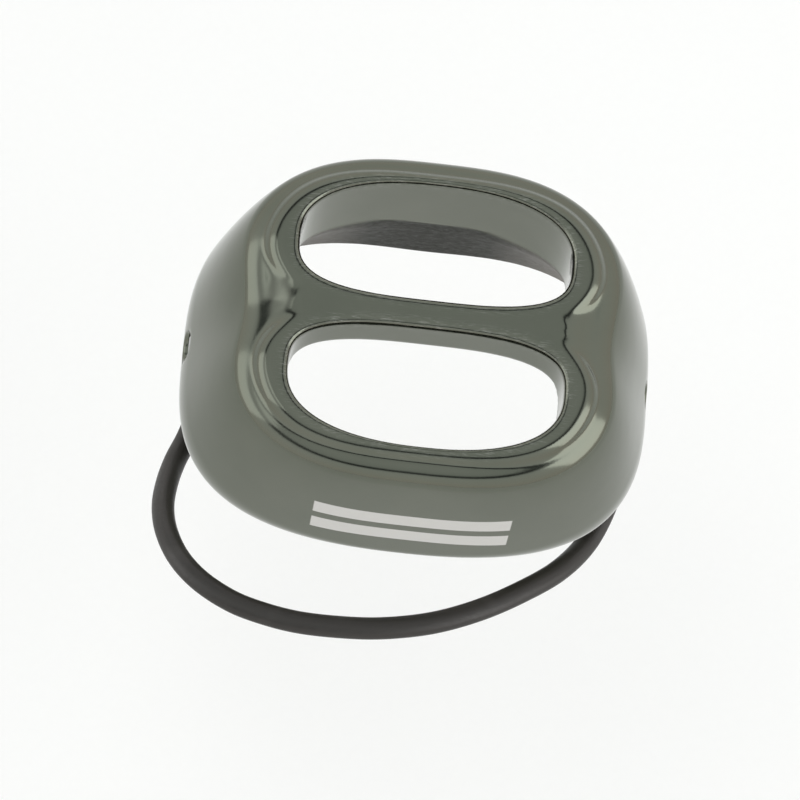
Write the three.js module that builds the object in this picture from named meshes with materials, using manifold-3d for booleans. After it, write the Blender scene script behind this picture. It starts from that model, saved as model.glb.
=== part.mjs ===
// A two-slot tube belay and rappel device with a stiff wire keeper loop.
// Millimetres, +Z up, bar along X. The origin is the middle of the flat base.
import * as THREE from 'three';
import { mergeVertices } from 'three/addons/utils/BufferGeometryUtils.js';
import Module from 'manifold-3d';

const wasm = await Module();
wasm.setup();

// Body, overall
const bodyHeight = 23;
const baseHalfLength = 31.3; // along X, at the base
const baseHalfDepth = 24.1; // along Y, at the base
const baseSquareness = 2.86; // exponent of the base outline, 2 is an ellipse
const flareShape = 0.48; // under 1 the skirt flares early and then stands upright

// Rope slots and the bar between them
const slotHalfLength = 17.3;
const slotOuterBulge = 9.0; // from the slot's widest line out to its far edge
const slotInnerReach = 7.0; // from the slot's widest line in to the bar
const slotOuterSquareness = 2.35;
const slotInnerSquareness = 3.1;
const barWidth = 4.0;
const barDepth = 6.0; // the bar's height, from the crest down to its underside
const slotEdgeRadius = 0.8; // rounding of the bead into the slot

// Rolled bead round the two slots. An outline draws in beside the bar by a share of its radius.
const beadLengthWidth = 5.3; // bead beyond a slot's end
const beadDepthWidth = 2.2; // bead beyond a slot's far edge
const beadSquareness = 3.1;
const beadRadius = 2.4; // rounding of the bead's outer edge
const beadStand = 1.2; // the crest's height above the skirt's shoulder
const beadRoot = 5; // how far under the crest the bead is modelled
const beadPinchDepth = 0.19;
const beadPinchReach = 5.1; // how far from the bar's line it draws in

// Shoulder where the skirt starts, under the bead
const shoulderLengthWidth = 4.1; // shoulder beyond a slot's end
const shoulderDepthWidth = 3.4; // shoulder beyond a slot's far edge
const shoulderSquareness = 2.9;
const shoulderRadius = 2.2; // rounding of the shoulder into the skirt
const shoulderPinchDepth = 0.14;
const shoulderPinchReach = 6.6;

// Skirt under the bar
const skirtWall = 5.0; // at the base
const baseEdgeInset = 2.0; // how far the skirt turns in at the base
const baseEdgeHeight = 2.0; // how high that turn is at the front and back
const baseEndRise = 5.0; // how much higher it is at the two ends
const cavityShape = 0.8;
const cavityOverrun = 1.12; // the hollow's cutter ends this far down, as a share of its height

// Keeper loop: a flat oval jacket on a round wire, with a stop on each end
const jacketHalfWidth = 1.45;
const jacketHalfThickness = 1.0;
const wireRadius = 0.45;
const wireGap = 0.3;
const stopRadius = 1.5;
const stopLength = 5;
const stopGap = 0.3;
const pivotHeight = 4.4;
const pivotInset = 4.3; // from the body's end in to the middle of each stop
const cordSteps = 32;
const cordSides = 8;
const jacketStart = 0.014; // share of the route left bare at each end, inside the stop
const stopSteps = 24;
const socketFloor = 0.35; // the socket goes this far past the wire's end
const socketLength = 4;

// Lugs that hold the stops, and the slot in each that the loop swings in
const swingSlotHalfDepth = 8.6;
const swingSlotEndHeight = 0.9;
const lugWall = 1.5;

const swingSlotCrown = 0.6; // the slot's roof over the stop, as a share of the bore's radius

const outlineSteps = 72;
const overcut = 2; // how far a cutter runs past a face
const roundingShares = [1, 0.62, 0.33, 0.14, 0.03, 0]; // levels that step round an edge
const baseLevels = [0, 0.15, 0.5, 1]; // levels that step round the base edge
const skirtLevels = [0.2, 0.35, 0.5, 0.65, 0.8];
const cavityLevels = [cavityOverrun, 1, 0.86, 0.7, 0.5, 0.28, 0.1, 0];

const pivotReach = baseHalfLength - pivotInset;
const slotWidest = barWidth / 2 + slotInnerReach;
const slotFarEdge = slotWidest + slotOuterBulge;
const shoulderTop = bodyHeight - beadStand;
const cavityTop = bodyHeight - barDepth;
const pocketRadius = stopRadius + stopGap;
const pocketHalfLength = stopLength / 2 + stopGap;
const swingSlotHalfWidth = jacketHalfWidth + stopGap;
const lugHalfDepth = swingSlotHalfDepth + lugWall;

// The keeper loop's route: a list chosen by hand, from the left stop round the front to the right.
// It is drawn for stops this far from the middle, and widens with them.
const routeReach = 27;
const routePoints = [
  [-27.0, -0.6, 4.0],
  [-27.0, -3.2, 2.3],
  [-27.3, -6.4, -0.4],
  [-28.3, -9.8, -1.9],
  [-29.6, -13.6, -1.2],
  [-30.4, -17.8, 0.9],
  [-30.6, -22.0, 3.3],
  [-29.9, -26.1, 5.5],
  [-28.1, -30.1, 7.3],
  [-25.3, -33.3, 8.5],
  [-21.6, -35.7, 9.2],
  [-18.0, -37.0, 9.5],
  [-13.0, -37.9, 9.6],
  [-7.4, -37.8, 9.1],
  [-1.7, -37.0, 8.3],
  [4.5, -35.1, 7.1],
  [10.4, -32.0, 5.4],
  [15.8, -28.1, 3.4],
  [20.4, -23.8, 0.9],
  [23.8, -19.0, -1.4],
  [25.9, -14.2, -2.2],
  [27.0, -9.8, -2.0],
  [27.2, -6.4, -0.4],
  [27.0, -3.2, 2.3],
  [27.0, -0.6, 4.0],
].map(([x, y, z]) => new THREE.Vector3((x * pivotReach) / routeReach, y, z));

const anodised = new THREE.MeshStandardMaterial({ color: 0x6f736a, roughness: 0.22, metalness: 0.9 });
const blackPlastic = new THREE.MeshStandardMaterial({ color: 0x35322f, roughness: 0.55, metalness: 0 });
const steel = new THREE.MeshStandardMaterial({ color: 0xb4b6b8, roughness: 0.35, metalness: 1 });

function addPiece(parent, name, geometry, material) {
  const mesh = new THREE.Mesh(geometry, material);
  mesh.name = name;
  parent.add(mesh);
  return mesh;
}

function toSolid(geometry) {
  const bare = geometry.clone();
  bare.deleteAttribute('normal');
  bare.deleteAttribute('uv');
  const merged = mergeVertices(bare, 1e-4);
  const vertProperties = new Float32Array(merged.attributes.position.array);
  const triVerts = new Uint32Array(merged.index.array);
  return new wasm.Manifold(new wasm.Mesh({ numProp: 3, vertProperties, triVerts }));
}

function toGeometry(solid) {
  const mesh = solid.getMesh();
  const geometry = new THREE.BufferGeometry();
  geometry.setAttribute('position', new THREE.BufferAttribute(new Float32Array(mesh.vertProperties), 3));
  geometry.setIndex(new THREE.BufferAttribute(new Uint32Array(mesh.triVerts), 1));
  geometry.computeVertexNormals();
  return geometry;
}

// A closed solid through a stack of rings, lowest first, each with the same count of points
function loft(rings) {
  const count = rings[0].length;
  const points = rings.flat();
  const index = [];
  for (let level = 0; level < rings.length - 1; level += 1) {
    for (let step = 0; step < count; step += 1) {
      const a = level * count + step;
      const b = level * count + ((step + 1) % count);
      index.push(a, b, b + count, a, b + count, a + count);
    }
  }
  const top = (rings.length - 1) * count;
  const bottomCentre = points.length;
  points.push(ringCentre(rings[0]));
  points.push(ringCentre(rings[rings.length - 1]));
  for (let step = 0; step < count; step += 1) {
    const next = (step + 1) % count;
    index.push(bottomCentre, next, step);
    index.push(bottomCentre + 1, top + step, top + next);
  }
  const geometry = new THREE.BufferGeometry().setFromPoints(points);
  geometry.setIndex(index);
  return geometry;
}

function ringCentre(ring) {
  const centre = new THREE.Vector3();
  ring.forEach((point) => centre.add(point));
  return centre.divideScalar(ring.length);
}

function signedPower(value, power) {
  return Math.sign(value) * Math.abs(value) ** power;
}

// Radius of a superellipse at an angle
function ovalRadius(angle, halfX, halfY, squareness) {
  const x = Math.abs(Math.cos(angle) / halfX) ** squareness;
  const y = Math.abs(Math.sin(angle) / halfY) ** squareness;
  return (x + y) ** (-1 / squareness);
}

// An oval whose two ends draw in beside the bar
function pinchedRadius(angle, halfX, halfY, squareness, pinchDepth, pinchReach) {
  const radius = ovalRadius(angle, halfX, halfY, squareness);
  const fromBar = (radius * Math.sin(angle)) / pinchReach;
  return radius * (1 - pinchDepth * Math.exp(-fromBar * fromBar));
}

function beadOutline(angle) {
  const halfX = slotHalfLength + beadLengthWidth;
  const halfY = slotFarEdge + beadDepthWidth;
  return pinchedRadius(angle, halfX, halfY, beadSquareness, beadPinchDepth, beadPinchReach);
}

function shoulderOutline(angle) {
  const halfX = slotHalfLength + shoulderLengthWidth;
  const halfY = slotFarEdge + shoulderDepthWidth;
  return pinchedRadius(angle, halfX, halfY, shoulderSquareness, shoulderPinchDepth, shoulderPinchReach);
}

function baseOutline(angle) {
  return ovalRadius(angle, baseHalfLength, baseHalfDepth, baseSquareness);
}

// How far a quarter round of this width and height draws in, at a depth below its top
function roundedBy(width, height, depth) {
  const left = Math.max(0, 1 - depth / height);
  return width * (1 - Math.sqrt(1 - left * left));
}

function skirtRadius(angle, height) {
  const drop = (bodyHeight - height) / bodyHeight;
  const shoulder = shoulderOutline(angle);
  const flared = shoulder + (baseOutline(angle) - shoulder) * drop ** flareShape;
  const turnHeight = baseEdgeHeight + baseEndRise * Math.cos(angle) ** 2;
  const turnedIn = roundedBy(baseEdgeInset, turnHeight, height);
  return flared - turnedIn - roundedBy(shoulderRadius, shoulderRadius, shoulderTop - height);
}

function ringAt(height, radiusAt) {
  const ring = [];
  for (let step = 0; step < outlineSteps; step += 1) {
    const angle = (step / outlineSteps) * Math.PI * 2;
    const radius = radiusAt(angle);
    ring.push(new THREE.Vector3(radius * Math.cos(angle), radius * Math.sin(angle), height));
  }
  return ring;
}

function skirtBlank() {
  const heights = baseLevels.map((share) => share * baseEdgeHeight);
  skirtLevels.forEach((share) => heights.push(share * bodyHeight));
  roundingShares.forEach((share) => heights.push(shoulderTop - share * shoulderRadius));
  return toSolid(loft(heights.map((height) => ringAt(height, (angle) => skirtRadius(angle, height)))));
}

function beadBlank() {
  const depths = [beadRoot];
  roundingShares.forEach((share) => depths.push(share * beadRadius));
  return toSolid(loft(depths.map((depth) => ringAt(bodyHeight - depth, (angle) => {
    return beadOutline(angle) - roundedBy(beadRadius, beadRadius, depth);
  }))));
}

// A slot's outline: straight along the bar, bulging on its far side; side is 1 at the back
function slotRing(height, side, growth) {
  const ring = [];
  for (let step = 0; step < outlineSteps; step += 1) {
    const angle = (step / outlineSteps) * Math.PI * 2;
    const along = Math.cos(angle);
    const across = Math.sin(angle) * side;
    const outer = across > 0;
    const squareness = outer ? slotOuterSquareness : slotInnerSquareness;
    const reach = (outer ? slotOuterBulge : slotInnerReach) + growth;
    const x = (slotHalfLength + growth) * signedPower(along, 2 / squareness);
    const y = side * slotWidest + side * reach * signedPower(across, 2 / squareness);
    ring.push(new THREE.Vector3(x, y, height));
  }
  return ring;
}

// A slot's cutter, with its mouth rounded over
function slotCutter(side) {
  const rings = [slotRing(-overcut, side, 0)];
  roundingShares.forEach((share) => {
    const depth = slotEdgeRadius * share;
    rings.push(slotRing(bodyHeight - depth, side, roundedBy(slotEdgeRadius, slotEdgeRadius, depth)));
  });
  rings.push(slotRing(bodyHeight + overcut, side, slotEdgeRadius));
  return toSolid(loft(rings));
}

// The hollow of the skirt, from the bar's underside down to the base
function cavityCutter() {
  return toSolid(loft(cavityLevels.map((share) => ringAt(cavityTop * (1 - share), (angle) => {
    const top = ovalRadius(angle, slotHalfLength, slotFarEdge, slotOuterSquareness);
    const base = baseOutline(angle) - skirtWall;
    return top + (base - top) * share ** cavityShape;
  }))));
}

// A lug fills the hollow's end round a stop
function lug(side) {
  const inner = pivotReach - pocketHalfLength - lugWall;
  const length = baseHalfLength - inner;
  const height = pivotHeight + pocketRadius + lugWall;
  const block = new THREE.BoxGeometry(length, lugHalfDepth * 2, height);
  block.translate(side * (inner + length / 2), 0, height / 2);
  return toSolid(block);
}

// The bore that a stop turns in, open at the body's end, where the stop goes in
function pocketCutter(side) {
  const inner = pivotReach - pocketHalfLength;
  const length = baseHalfLength + overcut - inner;
  const bore = new THREE.CylinderGeometry(pocketRadius, pocketRadius, length, stopSteps);
  bore.rotateZ(Math.PI / 2);
  bore.translate(side * (inner + length / 2), 0, pivotHeight);
  return toSolid(bore);
}

// The slot in the rim's underside that the loop swings in: deep at the stop, shallow at its ends
function swingSlotCutter(side) {
  const roof = pivotHeight + pocketRadius * swingSlotCrown;
  const halfRoof = pocketRadius;
  const shape = new THREE.Shape([
    new THREE.Vector2(-swingSlotHalfDepth, -overcut),
    new THREE.Vector2(swingSlotHalfDepth, -overcut),
    new THREE.Vector2(swingSlotHalfDepth, swingSlotEndHeight),
    new THREE.Vector2(halfRoof, roof),
    new THREE.Vector2(-halfRoof, roof),
    new THREE.Vector2(-swingSlotHalfDepth, swingSlotEndHeight),
  ]);
  const wedge = new THREE.ExtrudeGeometry(shape, { depth: swingSlotHalfWidth * 2, bevelEnabled: false });
  wedge.rotateX(Math.PI / 2);
  wedge.rotateZ(Math.PI / 2);
  wedge.translate(side * pivotReach - swingSlotHalfWidth, 0, 0);
  return toSolid(wedge);
}

function body() {
  const blank = skirtBlank().add(beadBlank());
  let solid = blank.subtract(cavityCutter());
  for (const side of [-1, 1]) {
    solid = solid.add(lug(side).intersect(blank));
  }
  for (const side of [-1, 1]) {
    solid = solid.subtract(slotCutter(side));
    solid = solid.subtract(pocketCutter(side));
    solid = solid.subtract(swingSlotCutter(side));
  }
  return toGeometry(solid);
}

// An oval of eight sides, flat on all four, its first way level with the route's bends
function ovalShape(halfWidth, halfThickness) {
  const points = [];
  const halfTurn = Math.PI / cordSides;
  for (let side = 0; side < cordSides; side += 1) {
    const angle = (2 * side + 1) * halfTurn;
    points.push(new THREE.Vector2(halfWidth * Math.cos(angle), halfThickness * Math.sin(angle)));
  }
  return points;
}

function alongRoute(start, end) {
  const route = new THREE.CatmullRomCurve3(routePoints);
  const stretch = new THREE.Curve();
  stretch.getPoint = (share, target) => route.getPointAt(start + (end - start) * share, target);
  return stretch;
}

function loopJacket() {
  const shape = new THREE.Shape(ovalShape(jacketHalfWidth, jacketHalfThickness));
  const bore = wireRadius + wireGap;
  shape.holes.push(new THREE.Path(ovalShape(bore, bore).reverse()));
  const extrudePath = alongRoute(jacketStart, 1 - jacketStart);
  return new THREE.ExtrudeGeometry(shape, { steps: cordSteps, bevelEnabled: false, extrudePath });
}

function loopWire() {
  const shape = new THREE.Shape(ovalShape(wireRadius, wireRadius));
  const extrudePath = alongRoute(0, 1);
  return new THREE.ExtrudeGeometry(shape, { steps: cordSteps, bevelEnabled: false, extrudePath });
}

// A swaged stop: a barrel across the end of the wire, with a socket that the wire goes into
function endStop(side) {
  const barrel = new THREE.CylinderGeometry(stopRadius, stopRadius, stopLength, stopSteps);
  barrel.rotateZ(Math.PI / 2);
  barrel.translate(side * pivotReach, 0, pivotHeight);
  const [first, second] = routePoints;
  const lead = second.clone().sub(first).setX(0).normalize();
  const socketRadius = wireRadius + wireGap;
  const socket = new THREE.CylinderGeometry(socketRadius, socketRadius, socketLength, cordSides * 2);
  socket.applyQuaternion(new THREE.Quaternion().setFromUnitVectors(new THREE.Vector3(0, 1, 0), lead));
  const middle = first.clone().addScaledVector(lead, socketLength / 2 - socketFloor).setX(side * pivotReach);
  socket.translate(middle.x, middle.y, middle.z);
  return toGeometry(toSolid(barrel).subtract(toSolid(socket)));
}

const descender = new THREE.Group();
addPiece(descender, 'body', body(), anodised);

const keeper = new THREE.Group();
descender.add(keeper);
addPiece(keeper, 'keeper_jacket', loopJacket(), blackPlastic);
addPiece(keeper, 'keeper_wire', loopWire(), steel);
addPiece(keeper, 'left_end_stop', endStop(-1), steel);
addPiece(keeper, 'right_end_stop', endStop(1), steel);

export default descender;
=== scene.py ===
import math

import bpy
import numpy as np
from mathutils import Matrix, Vector


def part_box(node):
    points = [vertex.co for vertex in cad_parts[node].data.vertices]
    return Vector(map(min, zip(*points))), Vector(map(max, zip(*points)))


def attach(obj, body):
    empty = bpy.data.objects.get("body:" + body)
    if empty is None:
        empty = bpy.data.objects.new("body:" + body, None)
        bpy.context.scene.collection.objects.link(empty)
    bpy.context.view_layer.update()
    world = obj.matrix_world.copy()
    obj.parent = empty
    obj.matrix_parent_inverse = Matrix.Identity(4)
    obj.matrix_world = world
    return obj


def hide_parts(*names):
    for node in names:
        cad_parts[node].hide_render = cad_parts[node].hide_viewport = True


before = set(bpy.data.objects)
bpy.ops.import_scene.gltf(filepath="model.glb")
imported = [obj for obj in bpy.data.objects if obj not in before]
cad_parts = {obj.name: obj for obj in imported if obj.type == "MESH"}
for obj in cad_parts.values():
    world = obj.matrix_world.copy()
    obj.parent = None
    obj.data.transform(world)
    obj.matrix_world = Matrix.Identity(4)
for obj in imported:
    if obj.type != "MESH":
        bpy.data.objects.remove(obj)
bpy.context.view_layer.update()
mm = 0.001
bodyLow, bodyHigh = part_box("body")
print("stage: frame loaded")

studio = {
    "azimuth": -8.8,  # degrees
    "elevation": 66.0,
    "roll": 14.4,
    "distance": 0.600,  # metres
    "lookAt": (-0.0031, -0.0123, 0.0230),
    "lens": 217.6,  # mm
    "sensorWidth": 36,  # mm
    "nearLimit": 0.01,
    "farLimit": 20,
    "floorDrop": 0.075,  # the floor lies this far under the base
    "floorSize": 6.0,
    "domeStrength": 1.08,
    "domeLean": -0.12,  # the dome's dark crown leans this way
}


def makeCamera():
    azimuth, elevation = math.radians(studio["azimuth"]), math.radians(studio["elevation"])
    roll = math.radians(studio["roll"])
    back = Vector((
        math.sin(azimuth) * math.cos(elevation),
        -math.cos(azimuth) * math.cos(elevation),
        math.sin(elevation),
    ))
    right = Vector((math.cos(azimuth), math.sin(azimuth), 0))
    up = back.cross(right)
    turnedRight = right * math.cos(roll) + up * math.sin(roll)
    turnedUp = up * math.cos(roll) - right * math.sin(roll)
    data = bpy.data.cameras.new("studioCamera")
    data.sensor_width = studio["sensorWidth"]
    data.lens = studio["lens"]
    data.clip_start = studio["nearLimit"]
    data.clip_end = studio["farLimit"]
    camera = bpy.data.objects.new("studioCamera", data)
    bpy.context.scene.collection.objects.link(camera)
    place = Matrix((turnedRight, turnedUp, back)).transposed().to_4x4()
    place.translation = Vector(studio["lookAt"]) + back * studio["distance"]
    camera.matrix_world = place
    bpy.context.scene.camera = camera


# Small helpers for the node trees
def freshTree(material):
    material.use_nodes = True
    tree = material.node_tree
    tree.nodes.clear()
    output = tree.nodes.new("ShaderNodeOutputMaterial")
    shader = tree.nodes.new("ShaderNodeBsdfPrincipled")
    tree.links.new(shader.outputs["BSDF"], output.inputs["Surface"])
    return tree, shader


def addNode(tree, kind, inputs=None, **settings):
    node = tree.nodes.new(kind)
    for name, value in settings.items():
        setattr(node, name, value)
    for name, value in (inputs or {}).items():
        if isinstance(value, bpy.types.NodeSocket):
            tree.links.new(value, node.inputs[name])
        else:
            node.inputs[name].default_value = value
    return node


def mathNode(tree, operation, first, second=0.0, third=0.0):
    inputs = {0: first, 1: second, 2: third}
    return addNode(tree, "ShaderNodeMath", inputs, operation=operation).outputs[0]


def noiseNode(tree, coordinates, scale, detail=3.0, roughness=0.55):
    inputs = {"Vector": coordinates, "Scale": scale, "Detail": detail, "Roughness": roughness}
    return addNode(tree, "ShaderNodeTexNoise", inputs).outputs["Fac"]


def rangeNode(tree, value, fromLow, fromHigh, toLow, toHigh):
    inputs = {"Value": value, "From Min": fromLow, "From Max": fromHigh}
    inputs.update({"To Min": toLow, "To Max": toHigh})
    return addNode(tree, "ShaderNodeMapRange", inputs).outputs["Result"]


def mixColours(tree, share, first, second):
    node = addNode(tree, "ShaderNodeMix", data_type="RGBA")
    for index, value in ((0, share), (6, first), (7, second)):
        if isinstance(value, bpy.types.NodeSocket):
            tree.links.new(value, node.inputs[index])
        else:
            node.inputs[index].default_value = value
    return node.outputs[2]


def bumpNode(tree, height, strength, distance, normal=None):
    inputs = {"Height": height, "Strength": strength, "Distance": distance}
    if normal is not None:
        inputs["Normal"] = normal
    return addNode(tree, "ShaderNodeBump", inputs).outputs["Normal"]


def objectCoordinates(tree):
    return addNode(tree, "ShaderNodeTexCoord").outputs["Object"]


def paperFloor():
    material = bpy.data.materials.new("paperFloor")
    tree, shader = freshTree(material)
    grain = noiseNode(tree, objectCoordinates(tree), 900.0)
    tone = mixColours(tree, grain, (0.965, 0.965, 0.965, 1), (0.990, 0.990, 0.990, 1))
    tree.links.new(tone, shader.inputs["Base Color"])
    shader.inputs["Roughness"].default_value = 0.9
    shader.inputs["Specular IOR Level"].default_value = 0.0
    return material


def makeStudio():
    half = studio["floorSize"] / 2
    mesh = bpy.data.meshes.new("floor")
    corners = [(-half, -half), (half, -half), (half, half), (-half, half)]
    mesh.from_pydata([(x, y, -studio["floorDrop"]) for x, y in corners], [], [(0, 1, 2, 3)])
    mesh.materials.append(paperFloor())
    floor = bpy.data.objects.new("floor", mesh)
    bpy.context.scene.collection.objects.link(floor)

    world = bpy.data.worlds.new("softDome")
    bpy.context.scene.world = world
    world.use_nodes = True
    tree = world.node_tree
    background = tree.nodes["Background"]
    direction = addNode(tree, "ShaderNodeTexCoord").outputs["Generated"]
    compass = addNode(tree, "ShaderNodeSeparateXYZ", {0: direction})
    lean = mathNode(tree, "MULTIPLY_ADD", compass.outputs["X"], studio["domeLean"], compass.outputs["Z"])
    ramp = addNode(tree, "ShaderNodeValToRGB", {"Fac": lean})
    stops = (  # height on the dome, then its colour there
        (0.0, (0.97, 0.91, 0.86)),
        (0.30, (0.98, 0.96, 0.93)),
        (0.60, (0.98, 0.99, 0.98)),
        (0.68, (0.90, 0.92, 0.92)),
        (0.735, (0.05, 0.06, 0.06)),
        (0.785, (0.07, 0.08, 0.08)),
        (0.84, (0.74, 0.77, 0.76)),
        (1.0, (0.86, 0.88, 0.87)),
    )
    while len(ramp.color_ramp.elements) < len(stops):
        ramp.color_ramp.elements.new(0.5)
    for element, (position, colour) in zip(ramp.color_ramp.elements, stops):
        element.position = position
        element.color = (*colour, 1)
    tree.links.new(ramp.outputs["Color"], background.inputs["Color"])
    background.inputs["Strength"].default_value = studio["domeStrength"]

    lamps = (  # name, place, size in metres, power in watts
        ("softboxLeft", (-1.2, 0.1, 0.8), 1.2, 4.0),
        ("softboxRight", (1.2, -0.2, 0.7), 1.0, 5.0),
    )
    for name, place, size, power in lamps:
        data = bpy.data.lights.new(name, "AREA")
        data.size = size
        data.energy = power
        lamp = bpy.data.objects.new(name, data)
        bpy.context.scene.collection.objects.link(lamp)
        lamp.location = place
        lamp.rotation_euler = (-Vector(place)).to_track_quat("-Z", "Y").to_euler()
    bpy.context.scene.view_settings.view_transform = "Standard"


makeCamera()
makeStudio()
print("stage: studio ready")


# Each distance rule works in millimetres, and is below zero inside the shape it is named for
def ovalDistance(x, y, halfX, halfY, squareness):
    u = np.abs(x / halfX) + 1e-9
    v = np.abs(y / halfY) + 1e-9
    gauge = (u**squareness + v**squareness) ** (1 / squareness)
    slopeX = (u / gauge) ** (squareness - 1) / halfX
    slopeY = (v / gauge) ** (squareness - 1) / halfY
    return (gauge - 1) / np.hypot(slopeX, slopeY)


def ovalRadius(angle, halfX, halfY, squareness):
    x = np.abs(np.cos(angle) / halfX) ** squareness
    y = np.abs(np.sin(angle) / halfY) ** squareness
    return (x + y) ** (-1 / squareness)


def roundMax(a, b, radius):  # both, with the edge between them rounded over
    corner = np.hypot(np.maximum(a + radius, 0), np.maximum(b + radius, 0))
    return np.minimum(-radius, np.maximum(a, b)) + corner


def roundMin(a, b, radius):  # either, with a fillet between them
    corner = np.hypot(np.maximum(radius - a, 0), np.maximum(radius - b, 0))
    return np.maximum(radius, np.minimum(a, b)) - corner


def smoothStep(value, low, high):
    share = np.clip((value - low) / (high - low), 0, 1)
    return share * share * (3 - 2 * share)


def surfaceNet(rule, low, high, step):
    # A closed quad mesh on the rule's zero level: one point in each cell that the level crosses
    counts = [int(math.ceil((high[axis] - low[axis]) / step)) + 1 for axis in range(3)]
    lines = [low[axis] + step * np.arange(counts[axis]) for axis in range(3)]
    values = rule(*np.meshgrid(*lines, indexing="ij"))
    cells = [count - 1 for count in counts]
    total = np.zeros(cells + [3])
    hits = np.zeros(cells)
    crossed = []
    for axis in range(3):
        ahead = np.take(values, range(1, counts[axis]), axis)
        behind = np.take(values, range(0, cells[axis]), axis)
        edges = np.argwhere((behind < 0) != (ahead < 0))
        key = tuple(edges.T)
        point = edges.astype(float)
        point[:, axis] += behind[key] / (behind[key] - ahead[key])
        crossed.append((edges, behind[key] < 0))
        u, v = (axis + 1) % 3, (axis + 2) % 3
        for backU in (0, 1):
            for backV in (0, 1):
                cell = edges.copy()
                cell[:, u] -= backU
                cell[:, v] -= backV
                np.add.at(total, tuple(cell.T), point)
                np.add.at(hits, tuple(cell.T), 1)
    used = hits > 0
    index = np.full(cells, -1)
    index[used] = np.arange(used.sum())
    points = total[used] / hits[used][:, None] * step + np.array(low)
    faces = []
    for axis, (edges, outward) in enumerate(crossed):
        u, v = (axis + 1) % 3, (axis + 2) % 3
        corners = []
        for backU, backV in ((1, 1), (0, 1), (0, 0), (1, 0)):
            cell = edges.copy()
            cell[:, u] -= backU
            cell[:, v] -= backV
            corners.append(index[tuple(cell.T)])
        quads = np.stack(corners, 1)
        quads[~outward] = quads[~outward][:, ::-1]
        faces.append(quads)
    return points, np.concatenate(faces)


def ruleSlope(rule, points, reach=0.02):
    slope = np.zeros_like(points)
    for axis in range(3):
        offset = np.zeros(3)
        offset[axis] = reach
        slope[:, axis] = (rule(*(points + offset).T) - rule(*(points - offset).T)) / (2 * reach)
    return slope


def settle(rule, points, step, rounds=3):
    # Moves each point along the rule's slope until it lies on the zero level
    for _ in range(rounds):
        slope = ruleSlope(rule, points)
        move = slope * (rule(*points.T) / np.maximum((slope**2).sum(1), 1e-4))[:, None]
        length = np.linalg.norm(move, axis=1, keepdims=True)
        points = points - move * np.minimum(1, 0.5 * step / np.maximum(length, 1e-9))
    return points


def relax(points, faces):
    # Evens out the net: each point goes halfway to the middle of its neighbours
    total = np.zeros_like(points)
    count = np.zeros(len(points))
    for corner in range(4):
        for neighbour in ((corner + 1) % 4, (corner + 3) % 4):
            np.add.at(total, faces[:, corner], points[faces[:, neighbour]])
            np.add.at(count, faces[:, corner], 1)
    return points * 0.5 + total / count[:, None] * 0.5


def pieceFromRule(name, rule, low, high, step, material):
    points, faces = surfaceNet(rule, low, high, step)
    for _ in range(3):
        points = settle(rule, relax(points, faces), step)
    mesh = bpy.data.meshes.new(name)
    mesh.from_pydata((points * mm).tolist(), [], faces.tolist())
    mesh.shade_smooth()
    mesh.materials.append(material)
    piece = bpy.data.objects.new(name, mesh)
    bpy.context.scene.collection.objects.link(piece)
    return piece, points


def addAttribute(mesh, name, values):
    attribute = mesh.attributes.new(name, "FLOAT", "POINT")
    attribute.data.foreach_set("value", np.asarray(values, np.float32))


forging = {
    "height": bodyHigh.z / mm,
    "baseHalfLength": 31.3,
    "baseHalfDepth": 24.1,
    "baseSquareness": 2.86,
    "flareShape": 0.48,
    "slotHalfLength": 17.3,
    "slotOuterBulge": 9.0,
    "slotInnerReach": 7.0,
    "slotOuterSquareness": 2.35,
    "slotInnerSquareness": 3.1,
    "barWidth": 4.0,
    "barDepth": 6.0,
    "slotEdgeRadius": 0.8,
    "beadLengthWidth": 5.3,
    "beadDepthWidth": 2.2,
    "beadSquareness": 3.1,
    "beadRadius": 2.4,
    "beadStand": 1.2,  # the crest's height above the skirt's shoulder
    "beadPinchDepth": 0.19,
    "beadPinchReach": 5.1,
    "beadFillet": 0.35,
    "waistFillet": 2.6,  # the bead runs out into the skirt beside the bar
    "waistReach": 2.6,
    "shoulderLengthWidth": 4.1,
    "shoulderDepthWidth": 3.4,
    "shoulderSquareness": 2.9,
    "shoulderRadius": 2.2,
    "shoulderPinchDepth": 0.14,
    "shoulderPinchReach": 6.6,
    "skirtWall": 5.0,
    "baseEdgeInset": 2.0,
    "baseEdgeHeight": 2.0,
    "baseEndRise": 5.0,
    "cavityShape": 0.8,
    "cavityRounding": 0.3,
    "bandDrop": 6.0,  # the punched band in a slot goes this much deeper at the far wall's middle
    "bandStart": 4.0,  # from the bar's middle line
    "bandEnd": 13.0,
    "bandEndLoss": 0.85,  # share of the drop that is gone at a slot's ends
    "baseRounding": 0.4,
    "wallRounding": 0.7,
    "lowEdgeRadius": 0.35,  # a slot's edge down inside the hollow
    "crestBlend": 3.0,  # the slot's edge grows to its full radius over this height
    "barBlendStart": 3.0,
    "barBlendEnd": 7.0,
    "netStep": 0.36,
    "netMargin": 1.0,
}
hinge = {
    "pivotHeight": 4.4,
    "pivotReach": 27.0,
    "stopRadius": 1.5,
    "stopLength": 5.0,
    "gap": 0.3,
    "slotHalfDepth": 8.6,
    "slotEndHeight": 0.9,
    "slotHalfWidth": 1.75,
    "slotCrown": 0.6,  # the roof's height over the pivot, in bore radii
    "slotRounding": 0.4,
    "boreRounding": 0.35,
    "lugWall": 1.5,
    "lugRounding": 0.8,
    "lugFillet": 1.2,
}
slotWidest = forging["barWidth"] / 2 + forging["slotInnerReach"]
slotFarEdge = slotWidest + forging["slotOuterBulge"]
shoulderTop = forging["height"] - forging["beadStand"]
cavityTop = forging["height"] - forging["barDepth"]
boreRadius = hinge["stopRadius"] + hinge["gap"]
boreInner = hinge["pivotReach"] - hinge["stopLength"] / 2 - hinge["gap"]


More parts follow.
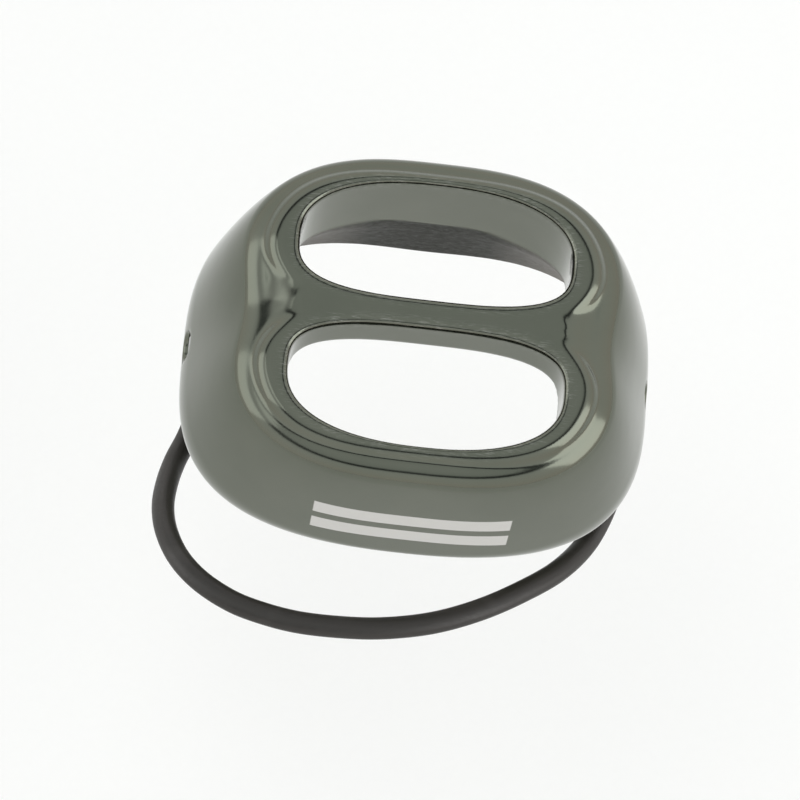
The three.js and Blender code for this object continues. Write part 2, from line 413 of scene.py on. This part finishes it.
def roundedBy(width, height, depth):
    left = np.clip(1 - depth / height, 0, 1)
    return width * (1 - np.sqrt(1 - left**2))


def pinchedRadius(angle, kind):
    halfX = forging["slotHalfLength"] + forging[kind + "LengthWidth"]
    halfY = slotFarEdge + forging[kind + "DepthWidth"]
    radius = ovalRadius(angle, halfX, halfY, forging[kind + "Squareness"])
    fromBar = radius * np.sin(angle) / forging[kind + "PinchReach"]
    return radius * (1 - forging[kind + "PinchDepth"] * np.exp(-(fromBar**2)))


def baseOutline(angle):
    return ovalRadius(angle, forging["baseHalfLength"], forging["baseHalfDepth"], forging["baseSquareness"])


def skirtRadius(angle, z):
    shoulder = pinchedRadius(angle, "shoulder")
    drop = np.clip((forging["height"] - z) / forging["height"], 1e-4, None)
    flared = shoulder + (baseOutline(angle) - shoulder) * drop ** forging["flareShape"]
    turnHeight = forging["baseEdgeHeight"] + forging["baseEndRise"] * np.cos(angle) ** 2
    return flared - roundedBy(forging["baseEdgeInset"], turnHeight, z)


def beadRadiusAt(angle, z):
    return pinchedRadius(angle, "bead")


def cavityCeiling(x, y):
    ends = 1 - forging["bandEndLoss"] * np.clip((x / forging["slotHalfLength"]) ** 2, 0, 1)
    band = smoothStep(np.abs(y), forging["bandStart"], forging["bandEnd"])
    return cavityTop - forging["bandDrop"] * band * ends


def cavityRadius(angle, z, ceiling):
    share = np.clip((ceiling - z) / ceiling, 0, 1.2)
    top = ovalRadius(angle, forging["slotHalfLength"], slotFarEdge, forging["slotOuterSquareness"])
    base = baseOutline(angle) - forging["skirtWall"]
    return top + (base - top) * share ** forging["cavityShape"]


def radialDistance(x, y, z, radiusAt):
    # Distance to a surface given by its radius at each angle and height
    angle = np.arctan2(y, x)
    reach = np.hypot(x, y)
    turn, rise = 0.01, 0.05
    radius = radiusAt(angle, z)
    aroundSlope = (radiusAt(angle + turn, z) - radius) / turn / radius
    upSlope = (radiusAt(angle, z + rise) - radius) / rise
    return (reach - radius) / np.sqrt(1 + aroundSlope**2 + upSlope**2)


def blankDistance(x, y, z):
    skirt = roundMax(radialDistance(x, y, z, skirtRadius), z - shoulderTop, forging["shoulderRadius"])
    bead = roundMax(radialDistance(x, y, z, beadRadiusAt), z - forging["height"], forging["beadRadius"])
    waist = np.exp(-((y / forging["waistReach"]) ** 2))
    fillet = forging["beadFillet"] + (forging["waistFillet"] - forging["beadFillet"]) * waist
    blank = roundMin(skirt, bead, fillet)
    level = np.maximum(blank, z - forging["height"])  # the fillet doesn't rise above the crest
    return roundMax(level, -z, forging["baseRounding"])


def cavityDistance(x, y, z):
    ceiling = cavityCeiling(x, y)
    side = radialDistance(x, y, z, lambda angle, height: cavityRadius(angle, height, ceiling))
    return roundMax(side, z - ceiling, forging["cavityRounding"])


def slotDistance(x, y):
    across = np.abs(y) - slotWidest
    half = forging["slotHalfLength"]
    outer = ovalDistance(x, across, half, forging["slotOuterBulge"], forging["slotOuterSquareness"])
    inner = ovalDistance(x, across, half, forging["slotInnerReach"], forging["slotInnerSquareness"])
    return np.where(across > 0, outer, inner)


def lugDistance(x, y, z):
    inner = boreInner - hinge["lugWall"]
    depth = np.abs(y) - hinge["slotHalfDepth"] - hinge["lugWall"]
    top = z - hinge["pivotHeight"] - boreRadius - hinge["lugWall"]
    sides = roundMax(inner - np.abs(x), depth, hinge["lugRounding"])
    return roundMax(sides, top, hinge["lugRounding"])


def boreDistance(x, y, z):
    return np.maximum(np.hypot(y, z - hinge["pivotHeight"]) - boreRadius, boreInner - np.abs(x))


def swingSlotDistance(x, y, z):
    roof = hinge["pivotHeight"] + boreRadius * hinge["slotCrown"]
    fall = (roof - hinge["slotEndHeight"]) / (hinge["slotHalfDepth"] - boreRadius)
    ceiling = roof - fall * np.clip(np.abs(y) - boreRadius, 0, None)
    under = (z - ceiling) / math.hypot(1, fall)
    sides = np.abs(np.abs(x) - hinge["pivotReach"]) - hinge["slotHalfWidth"]
    return np.maximum(np.maximum(under, sides), np.abs(y) - hinge["slotHalfDepth"])


def bodyDistance(x, y, z):
    shell = roundMin(-cavityDistance(x, y, z), lugDistance(x, y, z), hinge["lugFillet"])
    solid = roundMax(shell, blankDistance(x, y, z), forging["wallRounding"])
    high = smoothStep(z, cavityTop, cavityTop + forging["crestBlend"])
    nearBar = 1 - smoothStep(np.abs(y), forging["barBlendStart"], forging["barBlendEnd"])
    growth = forging["slotEdgeRadius"] - forging["lowEdgeRadius"]
    edge = forging["lowEdgeRadius"] + growth * np.clip(high + nearBar, 0, 1)
    solid = roundMax(solid, -slotDistance(x, y), edge)
    solid = roundMax(solid, -boreDistance(x, y, z), hinge["boreRounding"])
    return roundMax(solid, -swingSlotDistance(x, y, z), hinge["slotRounding"])


etching = {
    # Plain etched stripes on the front face, each by its middle along X, its middle height,
    # its half length and its half height
    "bars": ((0.5, 10.9, 12.5, 1.3), (0.5, 6.9, 12.5, 1.3)),
    "edge": 0.06,
    "faceDepth": -15.0,  # only metal in front of this is etched
}


def etchedBars(tree, axes):
    # 1 on the bars and 0 elsewhere, from the place on the front face
    def within(value, middle, half):
        offset = mathNode(tree, "ABSOLUTE", mathNode(tree, "SUBTRACT", value, middle * mm))
        edge = etching["edge"] * mm
        return rangeNode(tree, offset, half * mm - edge, half * mm + edge, 1.0, 0.0)

    shown = None
    for alongX, height, halfLength, halfHeight in etching["bars"]:
        bar = mathNode(tree, "MULTIPLY", within(axes.outputs["X"], alongX, halfLength),
                       within(axes.outputs["Z"], height, halfHeight))
        shown = bar if shown is None else mathNode(tree, "MAXIMUM", shown, bar)
    front = mathNode(tree, "LESS_THAN", axes.outputs["Y"], etching["faceDepth"] * mm)
    outside = addNode(tree, "ShaderNodeAttribute", attribute_name="outside").outputs["Fac"]
    return mathNode(tree, "MULTIPLY", mathNode(tree, "MULTIPLY", shown, front), outside)


anodising = {
    "dyeDark": (0.118, 0.129, 0.104, 1),
    "dyeLight": (0.154, 0.162, 0.133, 1),
    "worn": (0.44, 0.44, 0.42, 1),
    "etched": (0.62, 0.61, 0.59, 1),
    # Each pair is where a finish, and the painted shade that goes with the satin hollow, starts to fade and
    # where it ends, in millimetres
    "hollowFade": (0.15, 0.5),
    "lugFade": (0.3, 1.2),
    "skinFade": (0.2, 0.7),
    "rubbedHeight": (2.4, 0.6),  # below the crest
    "rubbedFade": (0.3, 2.0),  # away from a slot's wall
}


def anodisedForging():
    material = bpy.data.materials.new("anodisedForging")
    tree, shader = freshTree(material)
    place = objectCoordinates(tree)
    # The satin mask gives a rougher finish, and its colour is painted shade with a painted reflection at
    # the ends
    satinAndShade = addNode(tree, "ShaderNodeAttribute", attribute_name="satinAndShade").outputs["Fac"]
    rubbed = addNode(tree, "ShaderNodeAttribute", attribute_name="rubbed").outputs["Fac"]

    cloud = noiseNode(tree, place, 90.0, 4.0)
    speckle = noiseNode(tree, place, 2600.0, 2.0)
    dieGrain = noiseNode(tree, place, 1100.0, 5.0, 0.7)
    stretched = addNode(tree, "ShaderNodeMapping", {"Vector": place, "Scale": (1.0, 9.0, 9.0)})
    hairlines = noiseNode(tree, stretched.outputs[0], 700.0, 3.0, 0.7)

    dye = mixColours(tree, cloud, anodising["dyeDark"], anodising["dyeLight"])
    axes = addNode(tree, "ShaderNodeSeparateXYZ", {0: place})
    fromMiddle = mathNode(tree, "ABSOLUTE", axes.outputs["X"])
    # The hollow's colour is painted shade, darkest at the middle, and a painted reflection makes it paler
    # near the ends
    endSheen = rangeNode(tree, fromMiddle, 0.008, 0.018, 0.0, 1.0)
    hollowShadeDark = mixColours(tree, endSheen, (0.012, 0.013, 0.010, 1), (0.090, 0.083, 0.072, 1))
    hollowShadeLight = mixColours(tree, endSheen, (0.045, 0.046, 0.038, 1), (0.240, 0.222, 0.198, 1))
    shadedHollow = mixColours(tree, dieGrain, hollowShadeDark, hollowShadeLight)
    wornShare = mathNode(tree, "MULTIPLY", rubbed, rangeNode(tree, hairlines, 0.52, 0.72, 0.0, 0.5))
    # Under the satin mask the dye gives way to the hollow's painted shade and painted end reflection
    colour = mixColours(tree, satinAndShade, dye, shadedHollow)
    colour = mixColours(tree, wornShare, colour, anodising["worn"])
    etched = etchedBars(tree, axes)
    colour = mixColours(tree, etched, colour, anodising["etched"])
    tree.links.new(colour, shader.inputs["Base Color"])

    polished = rangeNode(tree, cloud, 0.3, 0.7, 0.10, 0.17)
    scuffed = rangeNode(tree, dieGrain, 0.3, 0.7, 0.42, 0.60)
    roughness = addNode(tree, "ShaderNodeMix", {0: satinAndShade, 2: polished, 3: scuffed}).outputs[0]
    roughness = mathNode(tree, "MULTIPLY_ADD", wornShare, 0.25, roughness)
    roughness = mathNode(tree, "MULTIPLY_ADD", etched, 0.35, roughness)
    tree.links.new(roughness, shader.inputs["Roughness"])
    shader.inputs["Metallic"].default_value = 1.0

    fine = bumpNode(tree, speckle, 0.05, 0.00004)
    ripple = bumpNode(tree, noiseNode(tree, place, 160.0, 2.0), 0.10, 0.0003, fine)
    pitted = mathNode(tree, "MULTIPLY", dieGrain, satinAndShade)
    tree.links.new(bumpNode(tree, pitted, 0.55, 0.0002, ripple), shader.inputs["Normal"])
    return material


def makeBody():
    margin = forging["netMargin"]
    low = (bodyLow.x / mm - margin, bodyLow.y / mm - margin, -margin)
    high = (bodyHigh.x / mm + margin, bodyHigh.y / mm + margin, forging["height"] + margin)
    step = forging["netStep"]
    piece, points = pieceFromRule("forged_body", bodyDistance, low, high, step, anodisedForging())
    x, y, z = points.T
    inCavity = 1 - smoothStep(np.abs(cavityDistance(x, y, z)), *anodising["hollowFade"])
    fromSlot = np.abs(slotDistance(x, y))
    lug = 1 - smoothStep(np.abs(lugDistance(x, y, z)), *anodising["lugFade"])
    buried = smoothStep(-blankDistance(x, y, z), *anodising["skinFade"])
    # The satin mask marks the hollow and lug, where the colour is painted shade as well as a rougher finish
    addAttribute(piece.data, "satinAndShade", np.clip(inCavity + lug, 0, 1) * buried)
    addAttribute(piece.data, "outside", 1 - buried)
    crestStart, crestEnd = anodising["rubbedHeight"]
    crest = smoothStep(z, forging["height"] - crestStart, forging["height"] - crestEnd)
    addAttribute(piece.data, "rubbed", crest * (1 - smoothStep(fromSlot, *anodising["rubbedFade"])))
    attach(piece, "descender_body")
    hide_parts("body")
    print("stage: body,", len(piece.data.polygons), "faces")


makeBody()

keeper = {
    "jacketHalfWidth": 1.45,
    "jacketHalfThickness": 1.0,
    "jacketStart": 0.014,  # share of the route left bare at each end
    "jacketSteps": 420,
    "jacketSides": 40,
    "wireRadius": 0.45,
    "strands": 6,  # round one core strand
    "strandRadius": 0.15,
    "wireSteps": 360,
    "strandSides": 8,
    "layLength": 4.5,  # one turn of a strand
    "routeSteps": 12,
    "jacketDark": (0.010, 0.009, 0.007, 1),
    "jacketLight": (0.026, 0.022, 0.019, 1),
    "jacketChalk": (0.09, 0.085, 0.08, 1),
    "crimpDepth": 0.10,
    "crimpPlace": 1.55,  # from the stop's middle
    "crimpWidth": 0.28,
    "stopRounding": 0.35,
    "socketDepth": 0.35,
    "socketRounding": 0.15,
    "stopMargin": 0.4,
    "stopStep": 0.12,
}
routePoints = [
    (-27.0, -0.6, 4.0),
    (-27.0, -3.2, 2.3),
    (-27.3, -6.4, -0.4),
    (-28.3, -9.8, -1.9),
    (-29.6, -13.6, -1.2),
    (-30.4, -17.8, 0.9),
    (-30.6, -22.0, 3.3),
    (-29.9, -26.1, 5.5),
    (-28.1, -30.1, 7.3),
    (-25.3, -33.3, 8.5),
    (-21.6, -35.7, 9.2),
    (-18.0, -37.0, 9.5),
    (-13.0, -37.9, 9.6),
    (-7.4, -37.8, 9.1),
    (-1.7, -37.0, 8.3),
    (4.5, -35.1, 7.1),
    (10.4, -32.0, 5.4),
    (15.8, -28.1, 3.4),
    (20.4, -23.8, 0.9),
    (23.8, -19.0, -1.4),
    (25.9, -14.2, -2.2),
    (27.0, -9.8, -2.0),
    (27.2, -6.4, -0.4),
    (27.0, -3.2, 2.3),
    (27.0, -0.6, 4.0),
]


def smoothRoute(points, steps):
    # A curve through the points, each stretch led by the points before and after it
    known = [Vector(p) for p in points]
    known = [known[0] * 2 - known[1]] + known + [known[-1] * 2 - known[-2]]
    route = []
    for before, start, end, after in zip(known, known[1:], known[2:], known[3:]):
        for step in range(steps):
            t = step / steps
            bend = (before * 2 - start * 5 + end * 4 - after) * t**2
            twist = (start * 3 - before - end * 3 + after) * t**3
            route.append((start * 2 + (end - before) * t + bend + twist) / 2)
    route.append(known[-2])
    return route


def plasticJacket():
    material = bpy.data.materials.new("plasticJacket")
    tree, shader = freshTree(material)
    along = addNode(tree, "ShaderNodeAttribute", attribute_name="along").outputs["Fac"]
    around = addNode(tree, "ShaderNodeAttribute", attribute_name="around").outputs["Fac"]
    turn = mathNode(tree, "MULTIPLY", around, 2 * math.pi)
    ringX = mathNode(tree, "COSINE", turn)
    ringY = mathNode(tree, "SINE", turn)
    run = mathNode(tree, "MULTIPLY", along, 60.0)
    place = addNode(tree, "ShaderNodeCombineXYZ", {0: run, 1: ringX, 2: ringY})
    drawn = noiseNode(tree, place.outputs[0], 3.0, 4.0, 0.6)  # faint lines drawn out along the jacket
    grain = noiseNode(tree, objectCoordinates(tree), 2200.0, 3.0)
    cloud = noiseNode(tree, objectCoordinates(tree), 120.0, 3.0)
    halfDrawn = mathNode(tree, "MULTIPLY", drawn, 0.5)
    halfGrain = mathNode(tree, "MULTIPLY", grain, 0.5)
    tone = mathNode(tree, "ADD", halfDrawn, halfGrain)
    colour = mixColours(tree, tone, keeper["jacketDark"], keeper["jacketLight"])
    chalk = rangeNode(tree, cloud, 0.58, 0.75, 0.0, 0.25)
    colour = mixColours(tree, chalk, colour, keeper["jacketChalk"])
    tree.links.new(colour, shader.inputs["Base Color"])
    tree.links.new(rangeNode(tree, grain, 0.3, 0.7, 0.34, 0.50), shader.inputs["Roughness"])
    shader.inputs["IOR"].default_value = 1.53
    rough = bumpNode(tree, grain, 0.25, 0.00006)
    tree.links.new(bumpNode(tree, drawn, 0.20, 0.00015, rough), shader.inputs["Normal"])
    return material


def drawnSteel():
    material = bpy.data.materials.new("drawnSteel")
    tree, shader = freshTree(material)
    place = objectCoordinates(tree)
    turned = addNode(tree, "ShaderNodeMapping", {"Vector": place, "Scale": (14.0, 1.0, 1.0)}).outputs[0]
    lines = noiseNode(tree, turned, 900.0, 3.0, 0.6)
    cloud = noiseNode(tree, place, 500.0, 3.0)
    colour = mixColours(tree, cloud, (0.42, 0.42, 0.43, 1), (0.60, 0.60, 0.60, 1))
    tree.links.new(colour, shader.inputs["Base Color"])
    tree.links.new(rangeNode(tree, lines, 0.3, 0.7, 0.22, 0.42), shader.inputs["Roughness"])
    shader.inputs["Metallic"].default_value = 1.0
    tree.links.new(bumpNode(tree, lines, 0.25, 0.00004), shader.inputs["Normal"])
    return material


def newSweepTree(name, settings):
    # A node tree that takes a route and has one named input for each setting
    tree = bpy.data.node_groups.new(name, "GeometryNodeTree")
    tree.interface.new_socket("Route", in_out="INPUT", socket_type="NodeSocketGeometry")
    sockets = {}
    for label, (kind, value) in settings.items():
        socket = tree.interface.new_socket(label, in_out="INPUT", socket_type=kind)
        sockets[label] = (socket.identifier, value)
    tree.interface.new_socket("Swept piece", in_out="OUTPUT", socket_type="NodeSocketGeometry")
    given = tree.nodes.new("NodeGroupInput")
    result = tree.nodes.new("NodeGroupOutput")
    return tree, given.outputs, result.inputs[0], sockets


def sweptPiece(name, tree, sockets, route, material):
    # Runs the tree on the route and keeps the result as a plain mesh
    curve = bpy.data.curves.new(name + "Route", "CURVE")
    curve.dimensions = "3D"
    spline = curve.splines.new("POLY")
    spline.points.add(len(route) - 1)
    for point, place in zip(spline.points, route):
        point.co = (*place, 1)
    carrier = bpy.data.objects.new(name + "Route", curve)
    bpy.context.scene.collection.objects.link(carrier)
    modifier = carrier.modifiers.new("sweep", "NODES")
    modifier.node_group = tree
    for identifier, value in sockets.values():
        modifier[identifier] = value
    graph = bpy.context.evaluated_depsgraph_get()
    graph.update()
    mesh = bpy.data.meshes.new_from_object(carrier.evaluated_get(graph), depsgraph=graph)
    mesh.name = name
    carrier.modifiers.remove(modifier)
    bpy.data.objects.remove(carrier)
    if not mesh.materials:
        mesh.materials.append(material)
    piece = bpy.data.objects.new(name, mesh)
    bpy.context.scene.collection.objects.link(piece)
    return piece


def jacketTree(material):
    tree, given, result, sockets = newSweepTree("jacketSweep", {
        "Half width": ("NodeSocketFloat", keeper["jacketHalfWidth"] * mm),
        "Half thickness": ("NodeSocketFloat", keeper["jacketHalfThickness"] * mm),
        "Bare share": ("NodeSocketFloat", keeper["jacketStart"]),
        "Steps": ("NodeSocketInt", keeper["jacketSteps"]),
        "Sides": ("NodeSocketInt", keeper["jacketSides"]),
    })
    farEnd = mathNode(tree, "SUBTRACT", 1.0, given["Bare share"])
    cut = addNode(tree, "GeometryNodeTrimCurve", {0: given["Route"], 2: given["Bare share"], 3: farEnd})
    even = addNode(tree, "GeometryNodeResampleCurve", {"Curve": cut.outputs[0], "Count": given["Steps"]})
    level = addNode(tree, "GeometryNodeSetCurveNormal", {0: even.outputs[0]}, mode="Z_UP")
    spot = addNode(tree, "GeometryNodeSplineParameter")
    line = addNode(tree, "GeometryNodeStoreNamedAttribute",
                   {"Geometry": level.outputs[0], "Name": "along", "Value": spot.outputs["Length"]},
                   data_type="FLOAT", domain="POINT")
    ring = addNode(tree, "GeometryNodeCurvePrimitiveCircle",
                   {"Resolution": given["Sides"], "Radius": 1.0})
    oval = addNode(tree, "ShaderNodeCombineXYZ",
                   {0: given["Half width"], 1: given["Half thickness"], 2: 1.0})
    profile = addNode(tree, "GeometryNodeTransform",
                      {"Geometry": ring.outputs[0], "Scale": oval.outputs[0]})
    turn = addNode(tree, "GeometryNodeSplineParameter").outputs["Factor"]
    marked = addNode(tree, "GeometryNodeStoreNamedAttribute",
                     {"Geometry": profile.outputs[0], "Name": "around", "Value": turn},
                     data_type="FLOAT", domain="POINT")
    swept = addNode(tree, "GeometryNodeCurveToMesh",
                    {0: line.outputs[0], 1: marked.outputs[0], "Fill Caps": True})
    smooth = addNode(tree, "GeometryNodeSetShadeSmooth", {0: swept.outputs[0]})
    real = addNode(tree, "GeometryNodeRealizeInstances", {0: smooth.outputs[0]})
    painted = addNode(tree, "GeometryNodeSetMaterial", {0: real.outputs[0], "Material": material})
    tree.links.new(painted.outputs[0], result)
    return tree, sockets


def wireTree(material):
    tree, given, result, sockets = newSweepTree("wireRopeSweep", {
        "Strand radius": ("NodeSocketFloat", keeper["strandRadius"] * mm),
        "Ring radius": ("NodeSocketFloat", (keeper["wireRadius"] - keeper["strandRadius"]) * mm),
        "Strands": ("NodeSocketInt", keeper["strands"]),
        "Strand sides": ("NodeSocketInt", keeper["strandSides"]),
        "Lay length": ("NodeSocketFloat", keeper["layLength"] * mm),
        "Steps": ("NodeSocketInt", keeper["wireSteps"]),
    })
    even = addNode(tree, "GeometryNodeResampleCurve", {"Curve": given["Route"], "Count": given["Steps"]})
    spot = addNode(tree, "GeometryNodeSplineParameter")
    turns = mathNode(tree, "DIVIDE", spot.outputs["Length"], given["Lay length"])
    lay = addNode(tree, "GeometryNodeSetCurveTilt",
                  {"Curve": even.outputs[0], "Tilt": mathNode(tree, "MULTIPLY", turns, 2 * math.pi)})
    ring = addNode(tree, "GeometryNodeMeshCircle",
                   {"Vertices": given["Strands"], "Radius": given["Ring radius"]})
    core = addNode(tree, "GeometryNodePoints", {"Count": 1})
    centres = addNode(tree, "GeometryNodeJoinGeometry")
    ringCentres = addNode(tree, "GeometryNodeMeshToPoints", {"Mesh": ring.outputs[0]})
    tree.links.new(ringCentres.outputs[0], centres.inputs[0])
    tree.links.new(core.outputs[0], centres.inputs[0])
    strand = addNode(tree, "GeometryNodeCurvePrimitiveCircle",
                     {"Resolution": given["Strand sides"], "Radius": given["Strand radius"]})
    copies = addNode(tree, "GeometryNodeInstanceOnPoints",
                     {"Points": centres.outputs[0], "Instance": strand.outputs[0]})
    profile = addNode(tree, "GeometryNodeRealizeInstances", {0: copies.outputs[0]})
    swept = addNode(tree, "GeometryNodeCurveToMesh",
                    {0: lay.outputs[0], 1: profile.outputs[0], "Fill Caps": True})
    smooth = addNode(tree, "GeometryNodeSetShadeSmooth", {0: swept.outputs[0]})
    real = addNode(tree, "GeometryNodeRealizeInstances", {0: smooth.outputs[0]})
    painted = addNode(tree, "GeometryNodeSetMaterial", {0: real.outputs[0], "Material": material})
    tree.links.new(painted.outputs[0], result)
    return tree, sockets


def stopRule(side):
    # A barrel with rounded ends and two crimp marks, and the socket that the wire goes into
    first, second = Vector(routePoints[0]), Vector(routePoints[1])
    lead = Vector((0, second.y - first.y, second.z - first.z)).normalized()

    def rule(x, y, z):
        along = x - side * hinge["pivotReach"]
        across, up = y, z - hinge["pivotHeight"]
        fromCrimp = (np.abs(along) - keeper["crimpPlace"]) / keeper["crimpWidth"]
        crimp = keeper["crimpDepth"] * np.exp(-(fromCrimp**2))
        barrel = np.hypot(across, up) - hinge["stopRadius"] + crimp
        barrel = roundMax(barrel, np.abs(along) - hinge["stopLength"] / 2, keeper["stopRounding"])
        reach = (y - first.y) * lead.y + (z - first.z) * lead.z
        offset = np.hypot(along, (y - first.y) * lead.z - (z - first.z) * lead.y)
        wall = offset - keeper["wireRadius"] - hinge["gap"]
        socket = roundMax(wall, -keeper["socketDepth"] - reach, keeper["socketRounding"])
        return roundMax(barrel, -socket, keeper["socketRounding"])

    return rule


def makeKeeper():
    route = [point * mm for point in smoothRoute(routePoints, keeper["routeSteps"])]
    length = sum((b - a).length for a, b in zip(route, route[1:]))
    steel = drawnSteel()
    plastic = plasticJacket()

    jacket = sweptPiece("loop_jacket", *jacketTree(plastic), route, plastic)
    jacket.visible_glossy = False  # keeps a soft face on the skirt, with no black line mirrored in it
    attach(jacket, "keeper_loop")
    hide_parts("keeper_jacket")

    wire = sweptPiece("loop_wire", *wireTree(steel), route, steel)
    wire.visible_glossy = False
    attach(wire, "keeper_loop")
    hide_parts("keeper_wire")

    for side, name in ((-1, "left"), (1, "right")):
        middle = side * hinge["pivotReach"]
        half = hinge["stopLength"] / 2 + keeper["stopMargin"]
        radius = hinge["stopRadius"] + keeper["stopMargin"]
        low = (middle - half, -radius, hinge["pivotHeight"] - radius)
        high = (middle + half, radius, hinge["pivotHeight"] + radius)
        rule = stopRule(side)
        stop, _ = pieceFromRule(name + "_barrel_stop", rule, low, high, keeper["stopStep"], steel)
        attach(stop, "keeper_loop")
        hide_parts(name + "_end_stop")

    bare = keeper["jacketStart"] * length
    travelled, covered = 0.0, []
    for a, b in zip(route, route[1:]):
        if bare <= travelled <= length - bare:
            covered.append(tuple(a))
        travelled += (b - a).length
    print("stage: keeper loop,", round(length / mm, 1), "mm")


makeKeeper()
